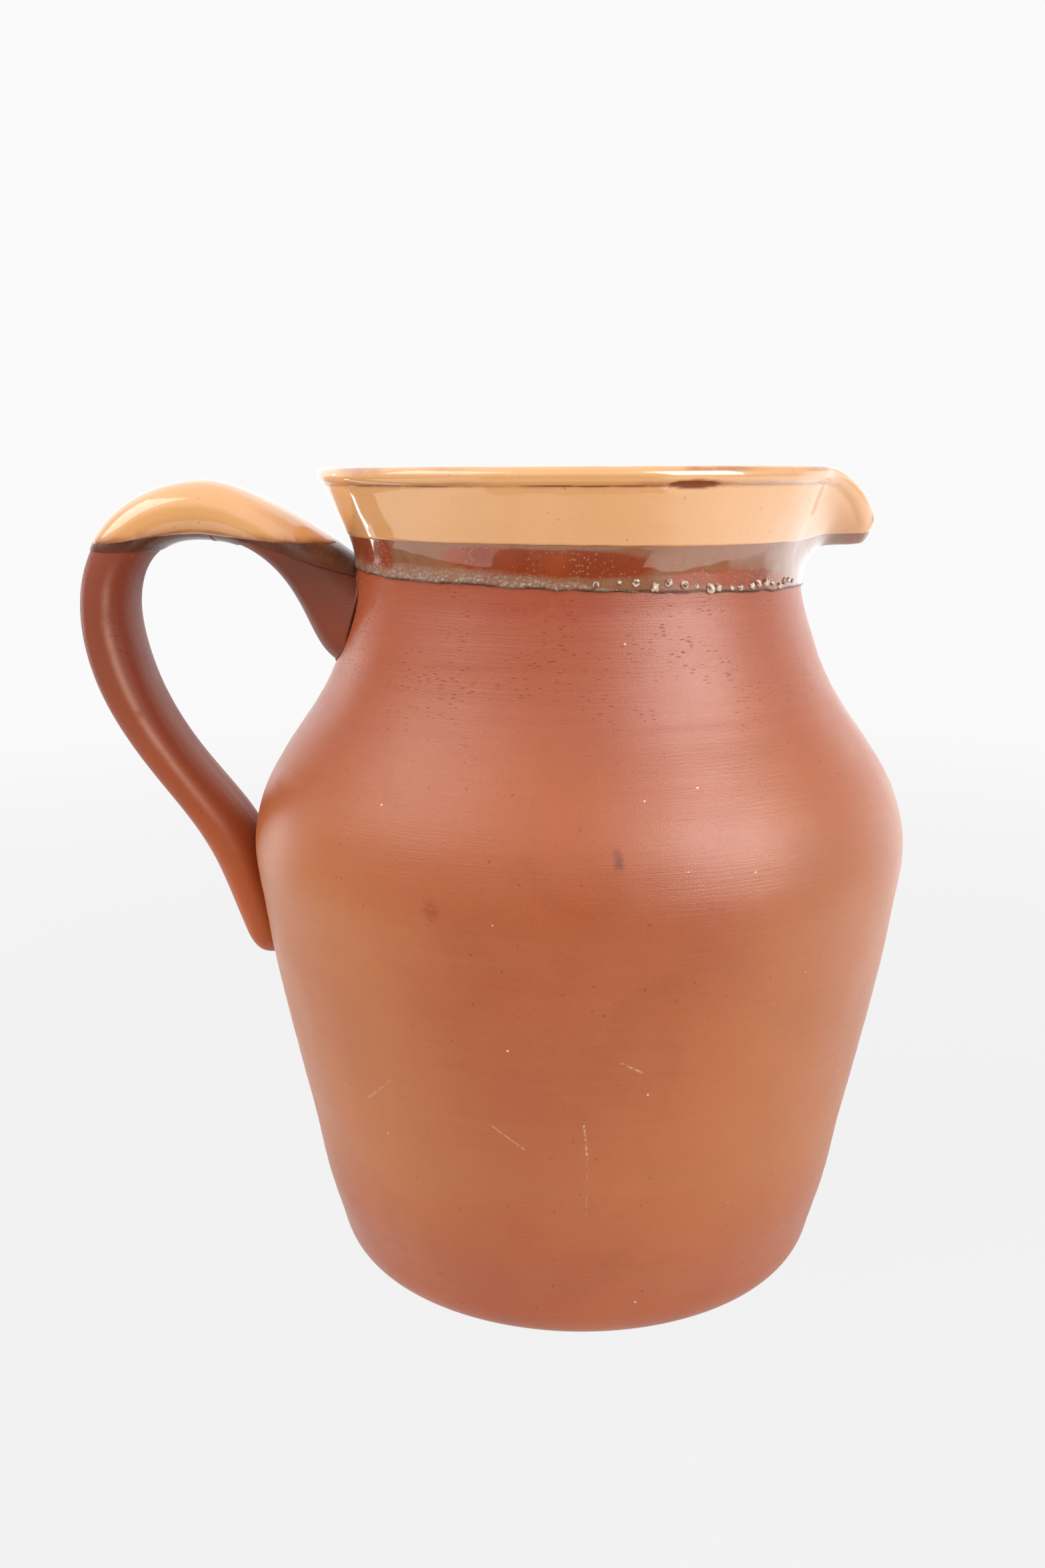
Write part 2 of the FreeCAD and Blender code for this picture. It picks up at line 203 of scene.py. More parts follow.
def ease(value):
    value = np.clip(value, 0.0, 1.0)
    return value * value * (3.0 - 2.0 * value)


def bell(distance, width):
    """1 at no distance, falling smoothly to nothing over about twice the width."""
    return np.exp(-((distance / width) ** 2))


def rounded_edge(distance, radius):
    """From 0 at an edge to 1 inside it, as a quarter circle."""
    inside = np.clip(distance / radius, 0.0, 1.0)
    return np.sqrt(1.0 - (1.0 - inside) ** 2)


def steps(start, end, size):
    return np.linspace(start, end, max(2, int(round(abs(end - start) / size)) + 1))


def in_columns(values, count):
    """The same values in each of a grid's columns."""
    return np.repeat(values[:, None], count, axis=1)


def circle(radius, angle):
    """Level points round the Z axis."""
    return np.stack([radius * np.cos(angle), radius * np.sin(angle), 0.0 * radius * angle], axis=-1)


# --- The vessel's skin: a point for each angle and each distance along the wall's section
def inner_wall():
    """Points inside the outer wall by its thickness, from the neck down to the floor's corner."""
    points = []
    above = OUTER_WALL[2:] + [COLLAR[0][0]]
    for (low_radius, low), (radius, height), (high_radius, high) in zip(OUTER_WALL, OUTER_WALL[1:], above):
        if height < FLOOR + 10.0:
            continue
        length = math.hypot(high - low, high_radius - low_radius)
        wall = FOOT_WALL + (RIM_WALL - FOOT_WALL) * height / NECK_HEIGHT
        across = wall * (high - low) / length
        points.append((radius - across, height + wall * (high_radius - low_radius) / length))
    points.sort(key=lambda point: -point[1])
    return points[:-1]


def spout_pull(angle):
    """How far out and how far down the spout pulls the rim at each angle, each from 0 to 1."""
    side = np.abs(np.angle(np.exp(1j * angle)))
    reach = np.where(side < SPOUT_HALF_ANGLE, np.cos(0.5 * math.pi * side / SPOUT_HALF_ANGLE) ** 2, 0.0)
    start = LIP_RADIUS * math.cos(SPOUT_HALF_ANGLE)
    edge = (LIP_RADIUS + (SPOUT_TIP - LIP_RADIUS) * reach) * np.cos(angle)
    along = np.clip((edge - start) / (SPOUT_TIP - start), 0.0, 1.0)
    droop = 1.0 - (1.0 - along**SPOUT_EDGE_POWER) ** (1.0 / SPOUT_EDGE_POWER)
    return reach, np.where(reach > 0.0, droop, 0.0)


RIM, SPOUT = map(np.array, zip(*COLLAR))
WALL = np.array(OUTER_WALL)
INSIDE = np.array(inner_wall() + INNER_FLOOR)
SECTION_KNOTS = chord_lengths(np.concatenate([WALL, RIM, INSIDE]))

LIP_LINE_ROW = 5
CREST_ROW = 8
AT_NECK = SECTION_KNOTS[len(WALL)]
AT_LIP_LINE = SECTION_KNOTS[len(WALL) + LIP_LINE_ROW]
AT_CREST = SECTION_KNOTS[len(WALL) + CREST_ROW]
AT_INNER_NECK = SECTION_KNOTS[len(WALL) + len(RIM) - 1]
AT_INNER_FLOOR = SECTION_KNOTS[-1]


def vessel(angle, along):
    """Points of the skin: angle has a value for each column, and along one for each point."""
    reach, droop = spout_pull(angle)
    pull = np.stack([reach, droop], axis=-1)[:, None, :]
    rim = RIM + (SPOUT - RIM) * pull
    plain = np.ones((len(angle), 1, 1))
    stations = np.concatenate([WALL * plain, rim, INSIDE * plain], axis=1)
    radius = spline(SECTION_KNOTS, stations[:, :, 0], along)
    height = spline(SECTION_KNOTS, stations[:, :, 1], along)
    return np.stack([radius * np.cos(angle), radius * np.sin(angle), height], axis=-1)


def unit(vectors):
    return vectors / np.maximum(np.linalg.norm(vectors, axis=-1, keepdims=True), 1e-12)


def skin_normals(skin, turn, along, turn_step, along_step):
    """The outward normals of a skin, from small steps round it and along it."""
    round_step = skin(turn + turn_step, along) - skin(turn - turn_step, along)
    onward_step = skin(turn, along + along_step) - skin(turn, along - along_step)
    return unit(np.cross(round_step, onward_step))


def vessel_normals(angle, along):
    return skin_normals(vessel, angle, along, 0.004, 0.05)


def column_angles(count, crowding=0.35):
    """Angles round the vessel, closer together at the spout."""
    turn = FULL_TURN * np.arange(count) / count
    return turn - crowding * np.sin(turn)


def turning_marks(points):
    """The thrower's marks on the outer wall, in millimetres: slow waves, fine rings, a slight wobble."""
    height = points[..., 2]
    line = points * [0.02, 0.02, 1.0]
    waves = 0.10 * ripple(line, 19.0, 3) + 0.030 * ripple(line, 4.6, 4)
    fine = 0.020 * ripple(line, 2.4, 5) * (0.35 + ease((height - 120.0) / 30.0))
    wobble = 0.16 * ripple(points, 110.0, 6)
    calm = ease(height / 12.0) * ease((NECK_HEIGHT + 4.0 - height) / 12.0)
    return (waves + fine) * calm + wobble * ease(height / 20.0) * ease((HEIGHT - 12.0 - height) / 30.0)


def clay_surface(angle, along):
    """The clay's real outer surface, with the thrower's marks, and its normals."""
    points = vessel(angle, along)
    normals = vessel_normals(angle, along)
    outside = ease((AT_CREST - 4.0 - along) / 6.0)
    return points + normals * (turning_marks(points) * outside)[..., None], normals


# --- The handle's skin: a point for each turn round the strap and each distance along it
STRAP_OUTER, STRAP_INNER, STRAP_WIDTH = map(np.array, zip(*HANDLE_STATIONS))
STRAP_KNOTS = chord_lengths(0.5 * (STRAP_OUTER + STRAP_INNER))
AT_ARCH = STRAP_KNOTS[5]
AT_LOWER_BRANCH = STRAP_KNOTS[8]
AT_SLIP_END = STRAP_KNOTS[10]
AT_GLAZE_END = STRAP_KNOTS[11]
AT_STRAP_END = STRAP_KNOTS[-1]
RIDGE = -0.33
GROOVE = -0.70


def power_curve(value):
    return np.sign(value) * np.abs(value) ** (2.0 / STRAP_SQUARENESS)


def strap_fluting(turn, along):
    """The ridge and groove drawn along each side of the lower branch: their lift and strengths."""
    rise = power_curve(-np.sin(turn))
    branch = ease((along - AT_LOWER_BRANCH) / 22.0) * ease((AT_STRAP_END - 18.0 - along) / 50.0)
    ridge = bell(rise - RIDGE, 0.13) * branch
    groove = bell(rise - GROOVE, 0.15) * branch
    return 0.16 * ridge - 0.38 * groove, ridge, groove


def strap(turn, along):
    """Points of the handle: turn has a value for each column, and along one for each point."""

    def station(values):
        return spline(STRAP_KNOTS, np.repeat(values[None, :], len(turn), axis=0), along)

    outer_x, outer_z = station(STRAP_OUTER[:, 0]), station(STRAP_OUTER[:, 1])
    inner_x, inner_z = station(STRAP_INNER[:, 0]), station(STRAP_INNER[:, 1])
    half_width = 0.5 * station(STRAP_WIDTH)
    side = power_curve(np.cos(turn))
    rise = power_curve(-np.sin(turn))
    fluting, _, _ = strap_fluting(turn, along)
    across = side * half_width + np.sign(side) * np.abs(side) ** 3 * fluting
    x = 0.5 * (outer_x + inner_x) + 0.5 * rise * (outer_x - inner_x)
    z = 0.5 * (outer_z + inner_z) + 0.5 * rise * (outer_z - inner_z)
    return np.stack([x, across, z], axis=-1)


def strap_surface(turn, along):
    """The handle's real surface, with the streaks left by pulling, and its normals."""
    points = strap(turn, along)
    normals = skin_normals(strap, turn, along, 0.01, 0.05)
    streaks = circle(3.0, turn) + 0.02 * along[..., None] * [0.0, 0.0, 1.0]
    lift = 0.16 * ripple(points, 34.0, 11) + 0.035 * ripple(streaks, 1.1, 12)
    return points + normals * lift[..., None], normals


def strap_grid(turns, rows, start=0.0, end=AT_STRAP_END):
    turn = -FULL_TURN * np.arange(turns) / turns
    return turn, in_columns(np.linspace(start, end, rows), turns)


# --- Meshes
def add_object(name, mesh):
    """Put a smoothly shaded mesh into the scene."""
    mesh.polygons.foreach_set("use_smooth", [True] * len(mesh.polygons))
    piece = bpy.data.objects.new(name, mesh)
    bpy.context.scene.collection.objects.link(piece)
    return piece


def make_mesh(name, points, faces, **attributes):
    """An object from points in millimetres, with a number at each point for each attribute."""
    mesh = bpy.data.meshes.new(name)
    mesh.from_pydata((np.asarray(points, float).reshape(-1, 3) * MM).tolist(), [], faces)
    for attribute, values in attributes.items():
        layer = mesh.attributes.new(attribute, "FLOAT", "POINT")
        layer.data.foreach_set("value", np.asarray(values, np.float32).reshape(-1))
    mesh.update()
    return add_object(name, mesh)


def grid_faces(rows, columns, joined_ends=False):
    """Quads between the rows of a grid whose columns close into rings."""
    last = rows if joined_ends else rows - 1
    row, column = np.meshgrid(np.arange(last), np.arange(columns), indexing="ij")
    next_row = (row + 1) % rows
    next_column = (column + 1) % columns
    corners = [
        row * columns + column,
        row * columns + next_column,
        next_row * columns + next_column,
        next_row * columns + column,
    ]
    return np.stack(corners, axis=-1).reshape(-1, 4).tolist()


def closed_skin(name, grid, **attributes):
    """A grid of rings closed by a fan of triangles at each end."""
    rows, columns = grid.shape[:2]
    points = np.concatenate([grid.reshape(-1, 3), [grid[0].mean(0)], [grid[-1].mean(0)]])
    faces = grid_faces(rows, columns)
    first, last = rows * columns, rows * columns + 1
    for column in range(columns):
        after = (column + 1) % columns
        faces.append([after, column, first])
        faces.append([(rows - 1) * columns + column, (rows - 1) * columns + after, last])
    for attribute, values in attributes.items():
        ends = [values[0].mean(), values[-1].mean()]
        attributes[attribute] = np.concatenate([values.reshape(-1), ends])
    return make_mesh(name, points, faces, **attributes)


def layer_skin(name, surface, normals, lift, depth, **attributes):
    """A thin closed ring of glaze or slip, from lift above the surface to depth below it."""
    face = surface + normals * lift[..., None]
    back = (surface - normals * depth)[::-1]
    grid = np.concatenate([face, back])
    for attribute, values in attributes.items():
        attributes[attribute] = np.concatenate([values, values[::-1]])
    return make_mesh(name, grid, grid_faces(*grid.shape[:2], joined_ends=True), **attributes)


# --- Materials
class Shader:
    """The node tree of a material or world, with short calls for the nodes they share."""

    def __init__(self, owner, coordinates="Object"):
        owner.use_nodes = True
        self.owner = owner
        self.tree = owner.node_tree
        self.place = self.node("ShaderNodeTexCoord").outputs[coordinates]
        self.colour = None

    def plug(self, socket, value):
        """Join a socket to another one, or give it a number, a vector or an RGB colour."""
        if isinstance(value, bpy.types.NodeSocket):
            self.tree.links.new(value, socket)
        elif socket.type == "RGBA":
            socket.default_value = (*value, 1.0)
        else:
            socket.default_value = value

    def node(self, kind, inputs=None, **settings):
        made = self.tree.nodes.new(kind)
        for name, value in settings.items():
            setattr(made, name, value)
        for key, value in (inputs or {}).items():
            self.plug(made.inputs[key], value)
        return made

    def attribute(self, name):
        return self.node("ShaderNodeAttribute", attribute_name=name).outputs["Fac"]

    def axis(self, name):
        return self.node("ShaderNodeSeparateXYZ", {0: self.place}).outputs[name]

    def vector(self, operation, inputs, output="Vector"):
        return self.node("ShaderNodeVectorMath", inputs, operation=operation).outputs[output]

    def scaled(self, x, y, z):
        return self.vector("MULTIPLY", {0: self.place, 1: (x, y, z)})

    def noise(self, scale, detail=3.0, roughness=0.55, vector=None, distortion=0.0):
        inputs = {"Vector": vector or self.place, "Scale": scale, "Detail": detail}
        inputs.update({"Roughness": roughness, "Distortion": distortion})
        return self.node("ShaderNodeTexNoise", inputs).outputs["Fac"]

    def cells(self, scale, vector=None):
        """How far each point is from the nearest of many scattered centres, in cells."""
        inputs = {"Vector": vector or self.place, "Scale": scale}
        return self.node("ShaderNodeTexVoronoi", inputs).outputs["Distance"]

    def span(self, value, low, high, to_low=0.0, to_high=1.0):
        """A smooth step from to_low at low to to_high at high."""
        inputs = {"Value": value, "From Min": low, "From Max": high, "To Min": to_low, "To Max": to_high}
        made = self.node("ShaderNodeMapRange", inputs, interpolation_type="SMOOTHSTEP")
        return made.outputs["Result"]

    def blotches(self, scale, detail, low, high, to_low=0.0, to_high=1.0, **noise):
        return self.span(self.noise(scale, detail, **noise), low, high, to_low, to_high)

    def spots(self, scale, inner, outer, vector=None):
        """1 in the middle of each of many scattered spots, and 0 outside them."""
        return self.span(self.cells(scale, vector), inner, outer, 1.0, 0.0)

    def math(self, operation, *values, clamp=False):
        inputs = dict(enumerate(values))
        return self.node("ShaderNodeMath", inputs, operation=operation, use_clamp=clamp).outputs[0]

    def times(self, product, *others):
        for other in others:
            product = self.math("MULTIPLY", product, other)
        return product

    def mix(self, amount, first, second):
        return self.node("ShaderNodeMix", {0: amount, 6: first, 7: second}, data_type="RGBA").outputs[2]

    def paint(self, colour, *amounts):
        """Lay a colour over those laid before it, by the product of the amounts."""
        self.colour = self.mix(self.times(*amounts), self.colour, colour)

    def front_mark(self, start, end, width):
        """1 on a line across the front, between two (x, z) points in millimetres, and 0 at width."""
        start = Vector((start[0], 0.0, start[1])) * MM
        along = Vector((end[0], 0.0, end[1])) * MM - start
        offset = self.vector("SUBTRACT", {0: self.scaled(1.0, 0.0, 1.0), 1: start})
        share = self.vector("DOT_PRODUCT", {0: offset, 1: along / along.length_squared}, "Value")
        share = self.math("MAXIMUM", self.math("MINIMUM", share, 1.0), 0.0)
        nearest = self.vector("SCALE", {0: along, "Scale": share})
        gap = self.vector("DISTANCE", {0: offset, 1: nearest}, "Value")
        on_front = self.span(self.axis("Y"), -0.010, 0.0, 1.0, 0.0)
        return self.times(self.span(gap, 0.0, width * MM, 1.0, 0.0), on_front)

    def bump(self, height, strength, distance, under=None):
        inputs = {"Height": height, "Strength": strength, "Distance": distance}
        if under:
            inputs["Normal"] = under
        return self.node("ShaderNodeBump", inputs).outputs["Normal"]

    def join(self, amount, first, second):
        """Mix two whole shaders: all first where amount is 0, all second where it is 1."""
        inputs = {0: amount, 1: first.outputs[0], 2: second.outputs[0]}
        return self.node("ShaderNodeMixShader", inputs)

    def show(self, made):
        """Make a whole shader the surface of the material or world."""
        self.tree.links.new(made.outputs[0], self.tree.get_output_node("ALL").inputs["Surface"])
        return self.owner

    def finish(self, **inputs):
        """Give the material's surface its painted colour, and the inputs named with _ for a space."""
        surface = self.tree.nodes["Principled BSDF"]
        self.plug(surface.inputs["Base Color"], self.colour)
        for name, value in inputs.items():
            self.plug(surface.inputs[name.replace("_", " ")], value)
        return self.owner


def material_shader(name):
    return Shader(bpy.data.materials.new(name))


def clay_shader(name, tint=(1.0, 1.0, 1.0), side_sheen=0.0):
    """Bare red stoneware: mottled, with turning streaks, specks and pits. A painted ochre sheen pales its
    sides.

    It gives back the shader, its normal and its roughness.
    """
    shader = material_shader(name)
    tint = np.array(tint)
    height = shader.axis("Z")
    mottle = shader.blotches(16.0, 4.0, 0.35, 0.68)
    shader.colour = shader.mix(mottle, tint * (0.425, 0.082, 0.020), tint * (0.495, 0.119, 0.032))
    patches = shader.blotches(38.0, 5.0, 0.52, 0.75, roughness=0.65, distortion=0.6)
    shader.paint(tint * (0.370, 0.074, 0.022), patches, 0.5)
    shader.paint(tint * (0.435, 0.074, 0.025), shader.span(height, 0.140, 0.176), 0.6)
    streaks = shader.noise(1.0, 5.0, 0.7, shader.scaled(60.0, 60.0, 2600.0))
    shader.paint(tint * (0.52, 0.142, 0.044), shader.span(streaks, 0.30, 0.75, 0.0, 0.30))
    grain = shader.noise(2300.0, 3.0, 0.7)
    shader.paint(tint * (0.29, 0.060, 0.020), shader.span(grain, 0.25, 0.75, 0.0, 0.28))

    pits = shader.times(
        shader.spots(1.0, 0.10, 0.22, shader.scaled(330.0, 330.0, 1900.0)),
        shader.span(height, 0.135, 0.165),
        shader.blotches(70.0, 2.0, 0.42, 0.6),
    )
    shader.paint(tint * (0.13, 0.024, 0.012), pits, 0.75)
    shader.paint((0.14, 0.03, 0.012), shader.spots(210.0, 0.05, 0.085), 0.5)
    shader.paint((0.80, 0.62, 0.46), shader.spots(95.0, 0.018, 0.034, shader.scaled(1.03, 0.97, 1.11)))

    # Painted sheen: the belly's sides turn ochre where they face away from the view.
    turned_away = shader.span(shader.node("ShaderNodeLayerWeight").outputs["Facing"], 0.05, 0.40)
    belly = shader.times(shader.span(height, 0.100, 0.150, side_sheen, 0.0), shader.span(height, 0.010, 0.050))
    shader.paint((0.83, 0.42, 0.09), turned_away, belly)

    fine_bump = shader.bump(grain, 0.35, 0.0002)
    ring_bump = shader.bump(streaks, 0.30, 0.0003, fine_bump)
    normal = shader.bump(pits, 0.60, -0.0003, ring_bump)
    return shader, normal, shader.blotches(55.0, 4.0, 0.3, 0.7, 0.28, 0.36)


def body_clay():
    """The body's clay, with its stains, its scratches, and a foot that turns greyer and darker towards the
    bottom.
    """
    shader, normal, roughness = clay_shader("bare_clay", side_sheen=0.15)
    stains = [
        ((8.5, 125.0), (8.9, 122.8), 1.7, 0.60, (0.11, 0.024, 0.012)),
        ((-31.4, 112.4), (-30.6, 111.4), 2.6, 0.60, (0.36, 0.024, 0.010)),
        ((-19.0, 173.0), (6.0, 173.5), 5.0, 0.40, (0.40, 0.036, 0.018)),
    ]
    uneven = shader.blotches(420.0, 3.0, 0.30, 0.60)
    for start, end, width, strength, stain in stains:
        shader.paint(stain, shader.front_mark(start, end, width), strength, uneven)
    scratches = [
        ((1.9, 62.3), (2.7, 53.5), 0.36, 0.62),
        ((2.7, 53.5), (2.5, 38.0), 0.22, 0.18),
        ((-18.5, 60.8), (-11.3, 55.4), 0.28, 0.38),
        ((10.0, 78.1), (14.4, 75.5), 0.36, 0.50),
        ((-48.6, 59.9), (-42.1, 67.5), 0.36, 0.28),
    ]
    rubbed = shader.blotches(900.0, 2.0, 0.35, 0.6)
    for start, end, width, strength in scratches:
        shader.paint((0.80, 0.62, 0.50), shader.front_mark(start, end, width), strength, rubbed)
    # Greyer and darker towards the bottom of the foot.
    foot = shader.span(shader.axis("Z"), 0.0, 0.010, 0.35, 0.0)
    shader.paint((0.24, 0.11, 0.075), foot, shader.blotches(240.0, 4.0, 0.4, 0.65))
    return shader.finish(
        Roughness=roughness, Normal=normal, Specular_IOR_Level=0.52, Diffuse_Roughness=0.5
    )


def handle_clay():
    """The handle's clay: darker above, with a painted highlight on its ridge that is partly pale wear,
    painted shade in its groove, and smoked at its root.
    """
    shader, normal, roughness = clay_shader("handle_clay", tint=(1.02, 1.00, 1.02))
    shader.paint((0.230, 0.050, 0.024), shader.span(shader.axis("Z"), 0.085, 0.165, 0.0, 0.85))
    streaks = shader.blotches(150.0, 3.0, 0.25, 0.55)
    # Painted highlight along the ridge, partly pale wear.
    shader.paint((0.56, 0.28, 0.19), shader.attribute("ridge"), streaks, 0.55)
    # Painted shade in the groove.
    shader.paint((0.240, 0.042, 0.022), shader.attribute("groove"), 0.55)
    root = [shader.span(shader.axis("X"), -0.088, -0.066), shader.span(shader.axis("Z"), 0.160, 0.182)]
    shader.paint((0.130, 0.040, 0.024), *root, shader.blotches(90.0, 3.0, 0.15, 0.60, 0.55, 0.90))
    rough = shader.math("ADD", roughness, 0.10)
    return shader.finish(Roughness=rough, Normal=normal, Specular_IOR_Level=0.22)


# The joining slip tinted dark: painted shade in the crevice where the handle meets the wall.
def shaded_luting_clay():
    shader, normal, _ = clay_shader("shaded_luting_clay", tint=(0.42, 0.46, 0.50))
    return shader.finish(Roughness=0.6, Normal=normal, Specular_IOR_Level=0.4)


def cream_glaze(name):
    """Cream slip under clear glaze: glossy, warm, with specks, and brown where it runs thin on an edge."""
    shader = material_shader(name)
    shader.colour = shader.mix(
        shader.blotches(28.0, 4.0, 0.35, 0.65), (0.78, 0.375, 0.128), (0.83, 0.415, 0.155)
    )
    grain = shader.noise(1500.0, 3.0, 0.65)
    shader.paint((0.60, 0.26, 0.08), shader.span(grain, 0.3, 0.8, 0.0, 0.16))
    shader.paint((0.26, 0.10, 0.035), shader.spots(230.0, 0.05, 0.10), 0.35)
    faded = shader.attribute("faded")
    shader.paint((0.46, 0.150, 0.042), faded, shader.blotches(240.0, 5.0, 0.25, 0.60, 0.3, 1.0))
    thin = shader.times(shader.attribute("thin"), shader.blotches(180.0, 4.0, 0.28, 0.55, 0.45, 1.0))
    shader.paint((0.190, 0.050, 0.014), shader.math("MINIMUM", thin, 1.0))
    bald = shader.attribute("bald")
    shader.paint((0.250, 0.056, 0.014), bald)
    dull = shader.math("MAXIMUM", bald, shader.times(thin, 0.75), clamp=True)
    waves = shader.bump(shader.noise(120.0, 2.0), 0.10, 0.0006)
    return shader.finish(
        Roughness=0.35,
        Normal=shader.bump(grain, 0.04, 0.0001, waves),
        Coat_Weight=shader.math("SUBTRACT", 1.0, dull),
        Coat_IOR=1.75,
        Coat_Roughness=0.05,
        Coat_Normal=waves,
        Specular_IOR_Level=0.3,
    )


def brown_glaze(name, deepest, palest, rim_colour, fizz, coat, gloss):
    """Clear glaze on bare red clay: deep and glossy, full of fine bubbles, and frothy along its edge."""
    shader = material_shader(name)
    shader.colour = shader.mix(shader.blotches(60.0, 5.0, 0.35, 0.65, roughness=0.6), deepest, palest)
    shader.paint((0.06, 0.014, 0.008), shader.spots(420.0, 0.08, 0.16), 0.35)
    seeds = shader.times(shader.spots(1150.0, 0.14, 0.34), shader.blotches(140.0, 3.0, 0.36, 0.58))
    shader.paint((0.50, 0.27, 0.14), seeds, fizz)
    # Milky haze: partly bubbles in the glaze, partly a painted reflection of the white sheet.
    haze = shader.attribute("haze")
    shader.paint((0.290, 0.138, 0.062), haze, shader.blotches(330.0, 4.0, 0.25, 0.62, 0.45, 0.80))
    foam = shader.attribute("foam")
    bubbles = shader.span(shader.cells(1250.0), 0.20, 0.55, 1.0, 0.30)
    milky = shader.mix(bubbles, (0.20, 0.085, 0.048), (0.50, 0.35, 0.25))
    shader.paint(milky, foam, shader.blotches(330.0, 4.0, 0.30, 0.62, 0.30, 1.0, roughness=0.6))
    rim = shader.attribute("rim")
    shader.paint(rim_colour, rim, shader.blotches(260.0, 3.0, 0.30, 0.55, 0.35, 0.95))
    return shader.finish(
        Roughness=0.3,
        Normal=shader.bump(shader.cells(1250.0), 0.25, 0.0002),
        Coat_Weight=shader.span(rim, 0.0, 0.8, coat, 0.03 * coat),
        Coat_IOR=1.70,
        Coat_Roughness=shader.span(foam, 0.0, 1.0, gloss, gloss + 0.15),
        Specular_IOR_Level=0.15,
    )


def lining_glaze():
    shader = material_shader("interior_glaze")
    tone = shader.blotches(30.0, 5.0, 0.3, 0.7)
    shader.colour = shader.mix(tone, (0.230, 0.048, 0.015), (0.320, 0.078, 0.024))
    rings = shader.noise(1.0, 4.0, 0.6, shader.scaled(40.0, 40.0, 900.0))
    shader.paint((0.150, 0.028, 0.010), shader.span(rings, 0.35, 0.7, 0.0, 0.35))
    shader.paint((0.04, 0.012, 0.006), shader.spots(260.0, 0.05, 0.10), 0.5)
    normal = shader.bump(rings, 0.12, 0.0004)
    return shader.finish(Roughness=0.3, Normal=normal, Coat_Weight=1.0, Coat_Roughness=0.06)


def bead_glaze():
    shader = material_shader("glaze_beads")
    blots = shader.blotches(1100.0, 3.0, 0.40, 0.62)
    shader.colour = shader.mix(blots, (0.20, 0.075, 0.040), (0.80, 0.62, 0.46))
    normal = shader.bump(shader.noise(1800.0, 2.0), 0.35, 0.0002)
    return shader.finish(Roughness=0.22, Normal=normal, Coat_Weight=0.8, Coat_Roughness=0.10)


# --- The body: the thrown vessel
def flat_rings(angle, radii, height):
    """Rings of a nearly level disc, whose height is a function of its points."""
    rings = circle(radii[:, None], angle)
    rings[..., 2] = height(rings)
    return rings


def floor_rings(angle, radii, above):
    """Rings of the inner floor, raised by above."""
    return flat_rings(angle, radii, lambda points: FLOOR + above)


def underside(points):
    """The foot's underside: slightly hollow, with the arcs that the cutting wire leaves."""
    distance = np.hypot(points[..., 0], points[..., 1])
    hollow = 0.7 * ease((FOOT_RADIUS - 5.0 - distance) / 8.0)
    arcs = np.hypot(points[..., 0] + 95.0, points[..., 1] - 20.0)
    marks = 0.14 * (1.0 + np.sin(arcs * 2.1 + 0.8 * np.sin(0.05 * points[..., 1])))
    return hollow + marks * ease((FOOT_RADIUS - 6.0 - distance) / 6.0)


def make_body():
    angle = column_angles(360)
    spans = [
        (0.0, 14.0, 0.7),
        (14.0, AT_NECK, 0.9),
        (AT_NECK, AT_LIP_LINE, 0.8),
        (AT_LIP_LINE, AT_CREST + 6.0, 0.35),
        (AT_CREST + 6.0, AT_INNER_FLOOR, 1.8),
    ]
    along = np.concatenate([[0.0]] + [steps(*span)[1:] for span in spans])
    wall, _ = clay_surface(angle, in_columns(along, len(angle)))
    foot = flat_rings(angle, steps(0.6, FOOT_RADIUS - 0.6, 1.0), underside)
    floor = floor_rings(angle, steps(FLOOR_RADIUS - 1.5, 0.6, 2.0), 0.0)
    return closed_skin("body_clay", np.concatenate([foot, wall, floor]))


# --- Slip and glaze on the collar
COLLAR_RING = 56.0
LIP_RING = 62.0
BALD_ANGLE = 293.0
BALD_HALF_ANGLE = 6.2

# The clear red pools of the glaze band, as (angle, half of the angle they take up, height over the
# band's edge, half height), in degrees and millimetres.
POOLS = [
    (-97.0, 27.0, 5.9, 3.5),
    (-50.0, 20.0, 3.1, 2.2),
    (-152.0, 15.0, 6.0, 5.5),
    (40.0, 30.0, 5.0, 2.6),
    (82.0, 14.0, 4.0, 2.2),
    (118.0, 22.0, 5.5, 3.0),
    (165.0, 12.0, 5.0, 2.4),
]


def edge_wave(angle, seed, size, wavelength):
    return size * ripple(circle(COLLAR_RING, angle), wavelength, seed)


def crossing(angle, start, end, level, tilt, rows=500):
    """Where each column first rises through a tilted level on its way along the section."""
    along = in_columns(np.linspace(start, end, rows), len(angle))
    points = vessel(angle, along)
    height = points[..., 2] + tilt * points[..., 0]
    first = np.clip(np.argmax(height > level, axis=0), 1, rows - 1)
    column = np.arange(len(angle))
    low, high = height[first - 1, column], height[first, column]
    share = np.clip((level - low) / np.maximum(high - low, 1e-9), 0.0, 1.0)
    return along[first - 1, column] + share * (along[first, column] - along[first - 1, column])


def slip_edge(angle):
    level = SLIP_EDGE + edge_wave(angle, 21, 0.22, 70.0) + edge_wave(angle, 22, 0.04, 9.0)
    under_spout = 1.6 * spout_pull(angle)[0]
    return crossing(angle, AT_NECK, AT_CREST, level + under_spout, SLIP_EDGE_TILT)


def inner_slip_edge(angle):
    level = SLIP_EDGE + edge_wave(angle, 23, 0.8, 60.0)
    return crossing(angle, AT_INNER_NECK, AT_CREST, level, 0.0)


def glaze_edge(angle):
    level = GLAZE_EDGE + edge_wave(angle, 24, 0.35, 60.0) + edge_wave(angle, 25, 0.16, 5.0)
    return crossing(angle, AT_NECK - 12.0, AT_CREST, level, GLAZE_EDGE_TILT)


def shares(count, crowding=0.8):
    """From 0 to 1, closer together at both ends."""
    share = np.linspace(0.0, 1.0, count)
    return share - crowding * np.sin(FULL_TURN * share) / FULL_TURN


